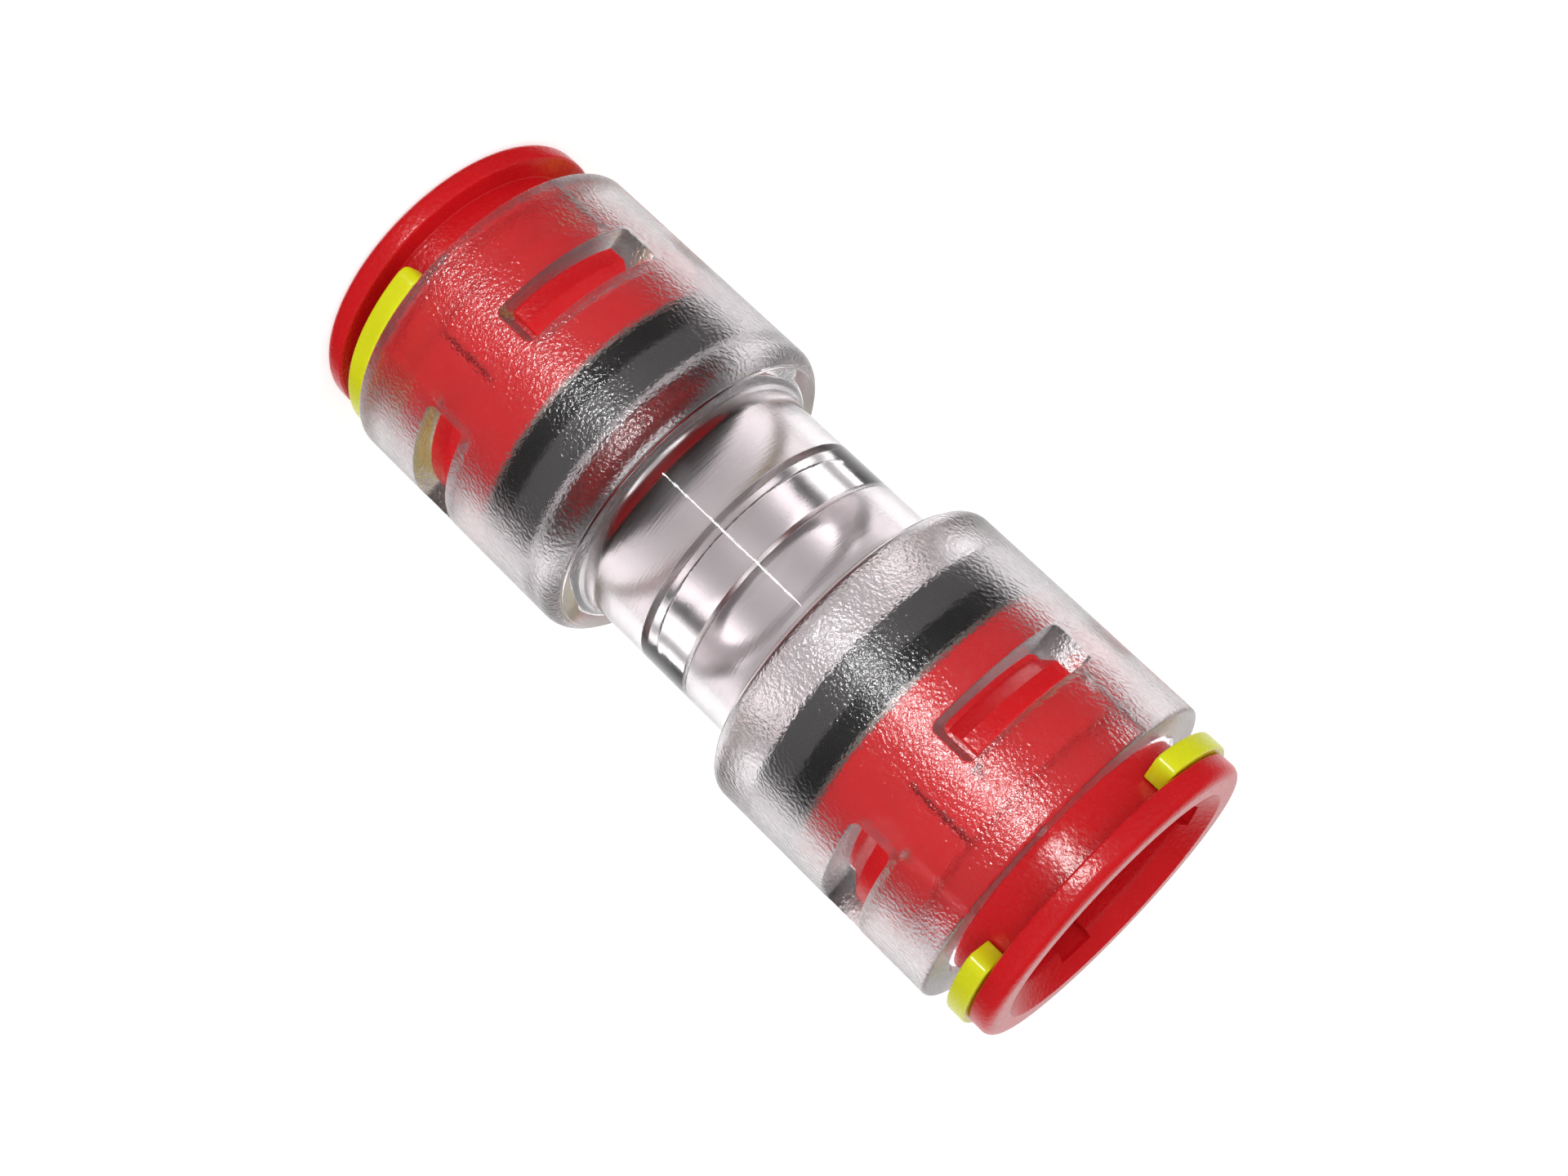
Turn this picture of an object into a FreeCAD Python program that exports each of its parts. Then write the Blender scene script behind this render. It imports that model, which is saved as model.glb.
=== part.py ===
"""Micro tube connector: a straight push-fit coupling for two lengths of micro tube.

The clear body stands on its end, with the axis along +Z and end a on the surface. Every piece of an
end is drawn once in an end frame, whose origin is the middle of the body and whose +Z points out of
the socket, and is then placed at end a (turned over) and at end b. Millimetres and degrees.
"""

import FreeCAD, Part
import os
from FreeCAD import Placement, Rotation, Vector
from Sketcher import Constraint

TOLERANCE = 1e-4
FULL_TURN = 360

# Driving sizes, each written once
SIZES = {
    # the tube that is pushed in
    "tube_diameter": 14.0,
    "tube_play": 0.1,
    # clear body
    "waist_wall": 1.25,
    "shoulder_face": 6.35,
    "shoulder_root_round": 0.9,
    "shoulder_ledge": 0.15,
    "shoulder_round_length": 0.4,
    "shoulder_round_drop": 0.65,
    "shoulder_round": 1.3,
    "socket_wall": 2.15,
    "socket_seat": 9.4,
    "socket_rim_round": 0.4,
    "socket_mouth_bevel": 0.25,
    "socket_room_past_cartridge": 2.52,
    "stop_half_thickness": 1.46,
    "stop_bore_diameter": 9.2,
    "stop_root_bevel": 0.4,
    # windows round each socket, and the grooves that guide the lugs to them
    "windows_per_socket": 4,
    "window_side_room": 1.13,
    "window_side_room_at_bore": 0.2,
    "window_ramp_room": 0.3,
    "window_corner_round": 0.4,
    "guide_groove_play": 0.4,
    "guide_groove_depth": 0.3,
    # rubber seal and the ring behind it
    "ring_fit": 0.03,
    "ring_face_gap": 0.02,
    "seal_length": 2.0,
    "seal_lip_squeeze": 0.25,
    "seal_lip_land": 0.5,
    "seal_heel_width": 1.3,
    "support_length": 1.5,
    "support_width": 1.3,
    # steel ring that bites on the tube
    "grip_sheet": 0.25,
    "grip_rim_width": 0.65,
    "grip_bite": 0.1,
    "grip_lean": 0.7,
    "grip_teeth": 16,
    "grip_slot_width": 0.6,
    "grip_slot_root": 0.35,
    # red retainer cartridge
    "cartridge_fit": 0.05,
    "cartridge_wall": 0.7,
    "cartridge_length": 7.9,
    "bead_room_length": 4.7,
    "lug_angle": 46.0,
    "lug_rise": 1.05,
    "lug_length": 2.35,
    "lug_ramp_length": 1.15,
    "lug_face_gap": 0.15,
    "lug_end_from_cartridge_start": 5.22,
    "slit_width": 1.2,
    "slit_length": 4.6,
    # red release sleeve
    "sleeve_wall": 0.7,
    "sleeve_play": 0.05,
    "neck_play": 0.2,
    "neck_inside_body": 0.1,
    "press_travel": 1.0,
    "flange_rise": 1.55,
    "flange_thickness": 1.5,
    "flange_front_round": 0.6,
    "flange_back_round": 0.15,
    "mouth_widening": 1.15,
    "mouth_depth": 1.2,
    "bead_rise": 0.27,
    "bead_length": 0.9,
    "bead_end_gap": 0.1,
    "nose_length": 1.8,
    "nose_taper": 0.4,
    "finger_slot_width": 2.2,
    "finger_slot_length": 5.8,
    "bore_groove_depth": 0.45,
    "bore_groove_from_face": 0.93,
    # yellow locking clip
    "clip_play": 0.05,
    "clip_overhang": 0.35,
    "clip_thickness": 1.3,
    "clip_opening_a": 94.0,
    "clip_opening_b": 72.0,
    "clip_end_round": 0.7,
    "clip_edge_round": 0.15,
    "clip_gap_to_body": 0.2,
    "clip_gap_to_flange": 0.05,
    "clip_turn_a": 11.0,
    "clip_turn_b": 27.0,
}

doc = FreeCAD.newDocument("micro_tube_connector")
sheet = doc.addObject("Spreadsheet::Sheet", "sizes")
for row, (alias, value) in enumerate(SIZES.items(), start=1):
    sheet.set(f"A{row}", alias)
    sheet.set(f"B{row}", str(value))
    sheet.setAlias(f"B{row}", alias)
doc.recompute()


def cells(formula):
    """Return a formula with every name of a driving size turned into its cell's reference."""
    words = formula.replace("(", "( ").replace(")", " )").split()
    return " ".join(f"sizes.{word}" if word in SIZES else word for word in words)


# Radii that follow from the tube outwards
TUBE_BORE = cells("(tube_diameter / 2 + tube_play)")
SLEEVE_RADIUS = cells(f"({TUBE_BORE} + sleeve_wall)")
CARTRIDGE_BORE = cells(f"({SLEEVE_RADIUS} + sleeve_play)")
CARTRIDGE_RADIUS = cells(f"({CARTRIDGE_BORE} + cartridge_wall)")
SOCKET_BORE = cells(f"({CARTRIDGE_RADIUS} + cartridge_fit)")
SOCKET_RADIUS = cells(f"({SOCKET_BORE} + socket_wall)")
NECK_RADIUS = cells(f"({SOCKET_BORE} - neck_play)")
RING_RADIUS = cells(f"({SOCKET_BORE} - ring_fit)")
WAIST_RADIUS = cells(f"({TUBE_BORE} + waist_wall)")
FLANGE_RADIUS = cells(f"({NECK_RADIUS} + flange_rise)")
CLIP_BORE = cells(f"({NECK_RADIUS} + clip_play)")
CLIP_RADIUS = cells(f"({FLANGE_RADIUS} + clip_overhang)")
LUG_RADIUS = cells(f"({CARTRIDGE_RADIUS} + lug_rise)")

# Heights in the end frame, from the middle of the body outwards
SEAL_START = cells("(socket_seat + ring_face_gap)")
SUPPORT_START = cells(f"({SEAL_START} + seal_length + ring_face_gap)")
GRIP_START = cells(f"({SUPPORT_START} + support_length + ring_face_gap)")
CARTRIDGE_START = cells(f"({GRIP_START} + grip_sheet + ring_face_gap)")
CARTRIDGE_END = cells(f"({CARTRIDGE_START} + cartridge_length)")
BODY_END = cells(f"({CARTRIDGE_END} + socket_room_past_cartridge)")
CLIP_GROOVE = cells("(clip_gap_to_body + clip_thickness + press_travel + clip_gap_to_flange)")
FLANGE_BACK = cells(f"({BODY_END} + {CLIP_GROOVE})")
FLANGE_FACE = cells(f"({FLANGE_BACK} + flange_thickness)")
LUG_END = cells(f"({CARTRIDGE_START} + lug_end_from_cartridge_start)")
LUG_START = cells(f"({LUG_END} - lug_length)")
WINDOW_END = cells(f"({LUG_END} + lug_face_gap)")
WINDOW_START = cells(f"({LUG_START} - window_ramp_room)")
LUG_HALF_WIDTH = cells(f"({LUG_RADIUS} * sin( lug_angle * 1 deg / 2))")
BEAD_END = cells(f"({CARTRIDGE_START} + bead_room_length - bead_end_gap)")
BEAD_START = cells(f"({BEAD_END} - bead_length)")
NOSE_END = cells(f"({BEAD_START} - nose_length)")
NECK_START = cells(f"({BODY_END} - neck_inside_body)")


def amount(formula):
    """Return the present value of a formula."""
    return float(sheet.evalExpression(formula))


def bind(feature, settings):
    """Bind properties of a feature to formulas."""
    for name, formula in settings.items():
        feature.setExpression(name, formula)


def origin_part(body, role):
    """Return one of a body's own origin planes or axes."""
    return next(part for part in body.Origin.OriginFeatures if part.Role == role)


def new_body(label):
    """Start one sub-part."""
    body = doc.addObject("PartDesign::Body", label)
    body.Label = label
    return body


def new_sketch(body, name, plane):
    """Start a sketch on one of the body's origin planes."""
    sketch = body.newObject("Sketcher::SketchObject", name)
    sketch.AttachmentSupport = [(origin_part(body, plane), "")]
    sketch.MapMode = "FlatFace"
    return sketch


def add_outline(sketch, points):
    """Add one closed outline of straight edges whose corners are bound to pairs of formulas."""
    values = [Vector(amount(across), amount(up), 0) for across, up in points]
    first = sketch.GeometryCount
    for index, start in enumerate(values):
        sketch.addGeometry(Part.LineSegment(start, values[(index + 1) % len(values)]), False)
    for index, corner in enumerate(points):
        line = first + index
        following = first + (index + 1) % len(points)
        sketch.addConstraint(Constraint("Coincident", line, 2, following, 1))
        for kind, formula, value in zip(("DistanceX", "DistanceY"), corner, values[index][:2]):
            number = sketch.addConstraint(Constraint(kind, -1, 1, line, 1, value))
            sketch.setExpression(f"Constraints[{number}]", formula)


def outline_sketch(body, name, plane, *outlines):
    """Return a sketch that holds one or more closed outlines."""
    sketch = new_sketch(body, name, plane)
    for points in outlines:
        add_outline(sketch, points)
    doc.recompute()
    return sketch


def revolve(body, name, plane, points, angle=None):
    """Turn an outline of (radius, height) corners about the body's axis, all round or by an angle."""
    sketch = outline_sketch(body, f"{name}_sketch", plane, points)
    feature = body.newObject("PartDesign::Revolution", name)
    feature.Profile = sketch
    feature.ReferenceAxis = (sketch, ["V_Axis"])
    feature.Angle = FULL_TURN
    if angle:
        feature.Midplane = True
        bind(feature, {"Angle": angle})
    sketch.Visibility = False
    doc.recompute()
    return feature


def pocket(body, name, plane, outlines, depth=None):
    """Cut outlines from a plane through the axis out to one side, right through or to a depth."""
    sketch = outline_sketch(body, f"{name}_sketch", plane, *outlines)
    before = body.Shape.Volume
    feature = body.newObject("PartDesign::Pocket", name)
    feature.Profile = sketch
    if depth:
        feature.Type = "Length"
        bind(feature, {"Length": depth})
    else:
        feature.Type = "ThroughAll"
    sketch.Visibility = False
    doc.recompute()
    if body.Shape.Volume > before - TOLERANCE:
        raise RuntimeError(f"{name} cuts nothing")
    return feature


def cross_cut(body, name, points, low, high):
    """Cut an outline of the cross-section between two heights."""
    sketch = outline_sketch(body, f"{name}_sketch", "XY_Plane", points)
    bind(sketch, {"AttachmentOffset.Base.z": low})
    before = body.Shape.Volume
    feature = body.newObject("PartDesign::Pocket", name)
    feature.Profile = sketch
    feature.Type = "Length"
    feature.Reversed = True
    bind(feature, {"Length": f"{high} - {low}"})
    sketch.Visibility = False
    doc.recompute()
    if body.Shape.Volume > before - TOLERANCE:
        raise RuntimeError(f"{name} cuts nothing")
    return feature


def repeat_round_axis(body, feature, count):
    """Repeat a feature evenly round the body's axis."""
    pattern = body.newObject("PartDesign::PolarPattern", f"{feature.Name}_round")
    pattern.Originals = [feature]
    pattern.Axis = (origin_part(body, "Z_Axis"), [""])
    pattern.Angle = FULL_TURN
    bind(pattern, {"Occurrences": count})
    body.Tip = pattern
    doc.recompute()
    return pattern


def rims(body, radius, *heights):
    """Name the circular edges of a radius at some heights."""
    wanted_radius = amount(radius)
    wanted_heights = [amount(height) for height in heights]
    return [
        f"Edge{number}"
        for number, edge in enumerate(body.Tip.Shape.Edges, start=1)
        if isinstance(edge.Curve, Part.Circle)
        and abs(edge.Curve.Axis.z) > 1 - TOLERANCE
        and abs(edge.Curve.Radius - wanted_radius) < TOLERANCE
        and any(abs(edge.Curve.Center.z - height) < TOLERANCE for height in wanted_heights)
    ]


def straight_edges(body):
    """Yield the name, start and direction of each straight edge of the body's last feature."""
    for number, edge in enumerate(body.Tip.Shape.Edges, start=1):
        if isinstance(edge.Curve, Part.Line):
            yield f"Edge{number}", edge.Vertexes[0].Point, edge.Curve.Direction


def uprights(body, radius):
    """Name the straight edges that run along the axis at a distance from it."""
    wanted = amount(radius)
    return [
        name
        for name, start, direction in straight_edges(body)
        if abs(direction.z) > 1 - TOLERANCE and abs(Vector(start.x, start.y, 0).Length - wanted) < TOLERANCE
    ]


def level_edges(body, offset, *heights):
    """Name the straight edges at some heights, square to the axis, whose lines pass it at an offset."""
    wanted_offset = amount(offset)
    wanted_heights = [amount(height) for height in heights]
    return [
        name
        for name, start, direction in straight_edges(body)
        if abs(direction.z) < TOLERANCE
        and abs(abs(start.x * direction.y - start.y * direction.x) - wanted_offset) < TOLERANCE
        and any(abs(start.z - height) < TOLERANCE for height in wanted_heights)
    ]


def soften(body, name, kind, edges, size):
    """Round or bevel named edges of the body's last feature by a size."""
    if not edges:
        raise RuntimeError(f"{name} finds no edge")
    solid = body.Tip
    feature = body.newObject(f"PartDesign::{kind}", name)
    feature.Base = (solid, edges)
    bind(feature, {"Radius" if kind == "Fillet" else "Size": size})
    body.Tip = feature
    doc.recompute()
    return feature


def place(body, end, turn="0"):
    """Move a piece from the end frame to its end of the connector, turned about the axis by an angle."""
    flip = Rotation(Vector(0, 1, 0), 180 if end == "a" else 0)
    body.Placement = Placement(Vector(), flip * Rotation(Vector(0, 0, 1), amount(turn)))
    bind(body, {"Placement.Base.z": FLANGE_FACE})
    doc.recompute()


def minus(formula):
    """Return the formula of the opposite value."""
    return f"-({formula})"


def box_outline(half_width, low, high):
    """Return the corners of an upright rectangle centred on the axis."""
    return [(minus(half_width), low), (half_width, low), (half_width, high), (minus(half_width), high)]


def make_connector_body():
    """Clear moulding: tube stop, waist, flat shoulders with rounded edges, sockets with windows."""
    body = new_body("connector_body")
    stop_face = cells("stop_half_thickness")
    face_height = cells("shoulder_face")
    ledge_height = cells("(shoulder_face + shoulder_ledge)")
    round_radius = cells(f"({SOCKET_RADIUS} - shoulder_round_drop)")
    face_radius = cells(f"({round_radius} - shoulder_ledge)")
    round_height = cells(f"({ledge_height} + shoulder_round_length)")
    half = [
        (cells("stop_bore_diameter / 2"), stop_face),
        (cells(f"{TUBE_BORE} - stop_root_bevel"), stop_face),
        (TUBE_BORE, cells("stop_half_thickness + stop_root_bevel")),
        (TUBE_BORE, cells("socket_seat")),
        (SOCKET_BORE, cells("socket_seat")),
        (SOCKET_BORE, cells(f"{BODY_END} - socket_mouth_bevel")),
        (cells(f"{SOCKET_BORE} + socket_mouth_bevel"), BODY_END),
        (SOCKET_RADIUS, BODY_END),
        (SOCKET_RADIUS, round_height),
        (round_radius, ledge_height),
        (face_radius, ledge_height),
        (face_radius, face_height),
        (WAIST_RADIUS, face_height),
    ]
    other_half = [(radius, minus(height)) for radius, height in reversed(half)]
    revolve(body, "moulding", "XZ_Plane", half + other_half)
    slope = cells("sqrt( shoulder_round_length ^ 2 + shoulder_round_drop ^ 2 )")
    largest_round = cells(f"{slope} * ({slope} + shoulder_round_length) / shoulder_round_drop")
    shoulders = rims(body, SOCKET_RADIUS, round_height, minus(round_height))
    soften(body, "shoulder_rounds", "Fillet", shoulders, f"min({cells('shoulder_round')}; 0.95 * {largest_round})")
    roots = rims(body, WAIST_RADIUS, face_height, minus(face_height))
    root_limit = f"0.95 * ({face_radius} - {WAIST_RADIUS})"
    soften(body, "root_rounds", "Fillet", roots, f"min({cells('shoulder_root_round')}; {root_limit})")
    ends = rims(body, SOCKET_RADIUS, BODY_END, minus(BODY_END))
    soften(body, "rim_rounds", "Fillet", ends, cells("socket_rim_round"))
    # A window's side walls draw in from the skin to the bore.
    outer_half = cells(f"({LUG_HALF_WIDTH} + window_side_room)")
    inner_half = cells(f"({SOCKET_BORE} * sin( lug_angle * 1 deg / 2) + window_side_room_at_bore)")
    outer_out = cells(f"sqrt( {SOCKET_RADIUS} ^ 2 - {outer_half} ^ 2 )")
    inner_out = cells(f"sqrt( {SOCKET_BORE} ^ 2 - {inner_half} ^ 2 )")
    margin = cells("(socket_wall / 4)")
    lean = f"(({outer_half} - {inner_half}) / ({outer_out} - {inner_out}))"
    deep_half, deep = f"({inner_half} - {lean} * {margin})", f"({inner_out} - {margin})"
    high = f"({SOCKET_RADIUS} + {margin})"
    high_half = f"({outer_half} + {lean} * ({high} - {outer_out}))"
    section = [(minus(deep_half), deep), (deep_half, deep), (high_half, high), (minus(high_half), high)]
    for name, low, top in (("window_b", WINDOW_START, WINDOW_END), ("window_a", minus(WINDOW_END), minus(WINDOW_START))):
        window = cross_cut(body, name, section, low, top)
        repeat_round_axis(body, window, cells("windows_per_socket"))
    heights = (WINDOW_START, WINDOW_END, minus(WINDOW_START), minus(WINDOW_END))
    offset = f"abs({inner_half} - {lean} * {inner_out}) / sqrt(1 + {lean} ^ 2)"
    corners = level_edges(body, offset, *heights)
    soften(body, "window_corner_rounds", "Fillet", corners, cells("window_corner_round"))
    guide_half_width = cells(f"({SOCKET_BORE} * sin( lug_angle * 1 deg / 2) + guide_groove_play)")
    grooves = [
        box_outline(guide_half_width, WINDOW_END, BODY_END),
        box_outline(guide_half_width, minus(BODY_END), minus(WINDOW_END)),
    ]
    groove = pocket(body, "guide_groove", "XZ_Plane", grooves, cells(f"{SOCKET_BORE} + guide_groove_depth"))
    repeat_round_axis(body, groove, cells("windows_per_socket"))
    bind(body, {"Placement.Base.z": FLANGE_FACE})
    return body


def make_seal_ring(end):
    """Black rubber seal whose lip squeezes the tube."""
    body = new_body(f"seal_ring_{end}")
    lip_radius = cells("(tube_diameter / 2 - seal_lip_squeeze)")
    heel_radius = cells(f"({RING_RADIUS} - seal_heel_width)")
    seal_end = cells(f"({SEAL_START} + seal_length)")
    lip_start = cells(f"({SEAL_START} + seal_lip_land)")
    revolve(body, "rubber", "XZ_Plane", [
        (RING_RADIUS, SEAL_START),
        (RING_RADIUS, seal_end),
        (heel_radius, seal_end),
        (lip_radius, cells(f"{lip_start} + seal_lip_land")),
        (lip_radius, lip_start),
        (heel_radius, SEAL_START),
    ])
    place(body, end)


def make_support_ring(end):
    """Black ring that backs the seal and gives the teeth of the grip ring room to lean into."""
    body = new_body(f"support_ring_{end}")
    support_end = cells(f"({SUPPORT_START} + support_length)")
    thin_edge = cells(f"({RING_RADIUS} - grip_rim_width)")
    revolve(body, "ring", "XZ_Plane", [
        (RING_RADIUS, SUPPORT_START),
        (RING_RADIUS, support_end),
        (thin_edge, support_end),
        (cells(f"{RING_RADIUS} - support_width"), cells(f"{support_end} - grip_lean - grip_sheet")),
        (cells(f"{RING_RADIUS} - support_width"), SUPPORT_START),
    ])
    place(body, end)


def make_grip_ring(end):
    """Thin spring steel ring with a flat rim and teeth that lean into the socket."""
    body = new_body(f"grip_ring_{end}")
    tip_radius = cells("(tube_diameter / 2 - grip_bite)")
    bend_radius = cells(f"({RING_RADIUS} - grip_rim_width)")
    back = cells(f"({GRIP_START} + grip_sheet)")
    revolve(body, "steel", "XZ_Plane", [
        (RING_RADIUS, GRIP_START),
        (RING_RADIUS, back),
        (bend_radius, back),
        (tip_radius, cells(f"{back} - grip_lean")),
        (tip_radius, cells(f"{GRIP_START} - grip_lean")),
        (bend_radius, GRIP_START),
    ])
    slot = box_outline(cells("grip_slot_width / 2"), cells(f"{GRIP_START} - grip_lean"), back)
    tooth_slot = pocket(body, "tooth_slot", "XZ_Plane", [slot], cells(f"{bend_radius} - grip_slot_root"))
    repeat_round_axis(body, tooth_slot, cells("grip_teeth"))
    place(body, end)


def make_cartridge(end):
    """Red retainer: a stepped sleeve whose lugs snap into the windows, slit to let them spring."""
    body = new_body(f"cartridge_{end}")
    bead_room_radius = cells(f"({CARTRIDGE_BORE} + bead_rise)")
    bead_room_end = cells(f"({CARTRIDGE_START} + bead_room_length)")
    revolve(body, "tube", "XZ_Plane", [
        (CARTRIDGE_RADIUS, CARTRIDGE_START),
        (CARTRIDGE_RADIUS, CARTRIDGE_END),
        (CARTRIDGE_BORE, CARTRIDGE_END),
        (CARTRIDGE_BORE, bead_room_end),
        (bead_room_radius, bead_room_end),
        (bead_room_radius, CARTRIDGE_START),
    ])
    lug_foot = cells(f"({CARTRIDGE_RADIUS} - cartridge_wall / 2)")
    lug = revolve(body, "lug", "XZ_Plane", [
        (lug_foot, LUG_START),
        (CARTRIDGE_RADIUS, LUG_START),
        (LUG_RADIUS, cells(f"{LUG_START} + lug_ramp_length")),
        (LUG_RADIUS, LUG_END),
        (lug_foot, LUG_END),
    ], angle=cells("lug_angle"))
    repeat_round_axis(body, lug, cells("windows_per_socket"))
    slit_start = cells(f"({CARTRIDGE_END} - slit_length)")
    slit = pocket(body, "slit", "XZ_Plane", [box_outline(cells("slit_width / 2"), slit_start, CARTRIDGE_END)])
    slit.Profile[0].AttachmentOffset = Placement(Vector(), Rotation(Vector(0, 1, 0), 0))
    bind(slit.Profile[0], {"AttachmentOffset.Rotation.Angle": cells("180 / windows_per_socket")})
    repeat_round_axis(body, slit, cells("windows_per_socket"))
    place(body, end)


def make_release_sleeve(end):
    """Red sleeve: flange, neck for the clip, and slotted fingers whose bead holds it in the cartridge."""
    body = new_body(f"release_sleeve_{end}")
    mouth_radius = cells(f"({TUBE_BORE} + mouth_widening)")
    bead_radius = cells(f"({SLEEVE_RADIUS} + bead_rise)")
    bead_ramp = cells(f"({BEAD_START} - bead_rise)")
    tip_radius = cells(f"({SLEEVE_RADIUS} - nose_taper)")
    revolve(body, "sleeve", "XZ_Plane", [
        (TUBE_BORE, NOSE_END),
        (tip_radius, NOSE_END),
        (SLEEVE_RADIUS, cells(f"{NOSE_END} + nose_taper * 2")),
        (SLEEVE_RADIUS, bead_ramp),
        (bead_radius, BEAD_START),
        (bead_radius, BEAD_END),
        (SLEEVE_RADIUS, BEAD_END),
        (SLEEVE_RADIUS, NECK_START),
        (NECK_RADIUS, NECK_START),
        (NECK_RADIUS, FLANGE_BACK),
        (FLANGE_RADIUS, FLANGE_BACK),
        (FLANGE_RADIUS, FLANGE_FACE),
        (mouth_radius, FLANGE_FACE),
        (TUBE_BORE, cells(f"{FLANGE_FACE} - mouth_depth")),
    ])
    front = rims(body, FLANGE_RADIUS, FLANGE_FACE)
    soften(body, "front_round", "Fillet", front, cells("flange_front_round"))
    back = rims(body, FLANGE_RADIUS, FLANGE_BACK)
    soften(body, "back_round", "Fillet", back, cells("flange_back_round"))
    half_width = cells("finger_slot_width / 2")
    slot_outline = box_outline(half_width, NOSE_END, cells(f"({NOSE_END} + finger_slot_length)"))
    slot = pocket(body, "finger_slot", "XZ_Plane", [slot_outline])
    repeat_round_axis(body, slot, cells("windows_per_socket"))
    groove_end = cells(f"({FLANGE_FACE} - bore_groove_from_face)")
    groove_outline = box_outline(half_width, NECK_START, groove_end)
    groove_depth = cells(f"{TUBE_BORE} + bore_groove_depth")
    groove = pocket(body, "bore_groove", "XZ_Plane", [groove_outline], groove_depth)
    repeat_round_axis(body, groove, cells("windows_per_socket"))
    place(body, end)


def make_locking_clip(end):
    """Yellow open ring on the neck; it keeps the flange away from the body."""
    body = new_body(f"locking_clip_{end}")
    if end == "a":
        clip_start = cells(f"({BODY_END} + clip_gap_to_body)")
    else:
        clip_start = cells(f"({FLANGE_BACK} - clip_gap_to_flange - clip_thickness)")
    clip_end = cells(f"({clip_start} + clip_thickness)")
    revolve(body, "ring", "YZ_Plane", [
        (CLIP_BORE, clip_start),
        (CLIP_RADIUS, clip_start),
        (CLIP_RADIUS, clip_end),
        (CLIP_BORE, clip_end),
    ], angle=cells(f"360 - clip_opening_{end}"))
    soften(body, "end_rounds", "Fillet", uprights(body, CLIP_RADIUS), cells("clip_end_round"))
    edges = rims(body, CLIP_RADIUS, clip_start, clip_end)
    soften(body, "edge_rounds", "Fillet", edges, cells("clip_edge_round"))
    place(body, end, cells(f"clip_turn_{end}"))


def check_document():
    """Stop if any object failed or any sub-part is not one valid solid."""
    doc.recompute()
    for item in doc.Objects:
        if "Invalid" in item.State or "Error" in item.State:
            raise RuntimeError(f"{item.Name} failed: {item.State}")
    for body in doc.findObjects("PartDesign::Body"):
        shape = body.Shape
        if shape.isNull() or not shape.isValid() or len(shape.Solids) != 1:
            raise RuntimeError(f"{body.Label} is not one valid solid")


def export_parts():
    """Write each sub-part to its own STEP file."""
    os.makedirs("parts", exist_ok=True)
    for body in doc.findObjects("PartDesign::Body"):
        body.Shape.exportStep(f"parts/{body.Label}.step")
        box = body.Shape.BoundBox
        print(f"{body.Label}: {body.Shape.Volume:.1f} mm3, z {box.ZMin:.2f} to {box.ZMax:.2f}")


make_connector_body()
for end_name in ("a", "b"):
    make_seal_ring(end_name)
    make_support_ring(end_name)
    make_grip_ring(end_name)
    make_cartridge(end_name)
    make_release_sleeve(end_name)
    make_locking_clip(end_name)
check_document()
export_parts()
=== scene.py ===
"""Micro tube connector: a clear push-fit coupling with red release sleeves and yellow clips.

Every piece of an end is drawn in an end frame, in millimetres: its origin is the middle of the body
and +z points out of the socket. The piece is then laid at end a (turned over) or at end b.
"""

import math

import bmesh
import bpy
import numpy as np
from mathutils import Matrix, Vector


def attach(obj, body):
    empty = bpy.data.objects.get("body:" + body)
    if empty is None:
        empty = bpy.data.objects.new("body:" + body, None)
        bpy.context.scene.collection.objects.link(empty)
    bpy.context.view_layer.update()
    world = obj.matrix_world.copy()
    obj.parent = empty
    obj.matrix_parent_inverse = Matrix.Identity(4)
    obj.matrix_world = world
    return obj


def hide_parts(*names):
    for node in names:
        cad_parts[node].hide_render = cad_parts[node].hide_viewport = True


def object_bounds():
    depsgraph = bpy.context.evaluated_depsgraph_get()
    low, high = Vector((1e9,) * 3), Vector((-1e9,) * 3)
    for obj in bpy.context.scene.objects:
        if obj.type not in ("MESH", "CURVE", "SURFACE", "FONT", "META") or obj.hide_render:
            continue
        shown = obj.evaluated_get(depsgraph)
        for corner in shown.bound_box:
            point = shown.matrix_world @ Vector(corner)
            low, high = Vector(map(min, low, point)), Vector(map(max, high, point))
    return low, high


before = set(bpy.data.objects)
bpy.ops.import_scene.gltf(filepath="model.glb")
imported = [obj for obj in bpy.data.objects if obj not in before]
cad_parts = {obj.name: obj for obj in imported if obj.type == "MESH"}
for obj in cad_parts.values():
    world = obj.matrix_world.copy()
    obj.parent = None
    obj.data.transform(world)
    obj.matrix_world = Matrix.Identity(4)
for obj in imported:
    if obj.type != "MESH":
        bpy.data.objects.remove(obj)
CAD_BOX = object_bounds()

bl_info = {
    "name": "Micro tube connector",
    "version": (1, 0, 0),
    "blender": (4, 5, 0),
    "location": "View3D > Sidebar > Tube connector",
    "description": "Builds the clear connector with its sleeves, clips, cartridges and rings",
    "category": "Add Mesh",
}

MM = 0.001
HALF_LENGTH = (CAD_BOX[1].z - CAD_BOX[0].z) / 2 / MM
QUARTER = math.pi / 2
ENDS = ("a", "b")

WELD = 2e-7  # metres: points that are closer than this become one
TINY = 1e-6  # millimetres or radians: room for rounding in comparisons

QUARTER_COLUMNS = 48  # columns of the body's grid from one window's middle to the next
COLUMNS = 4 * QUARTER_COLUMNS
WINDOW_ROWS = 14  # points up a window's short side
WINDOW_MARGIN = 0.75  # from a window to the rectangle that its patch ends on
GROOVE_EDGE = math.radians(25.9)  # from a window's middle to the side of its guide groove
GROOVE_SLOPE = 0.02  # half the angle over which a guide groove's side slopes

# Of each clip: the place of its inner side in millimetres, half its opening, and the opening's middle
CLIPS = {
    "a": (23.85, math.radians(47), math.radians(-101)),
    "b": (24.85, math.radians(44), math.radians(-63)),
}

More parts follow.
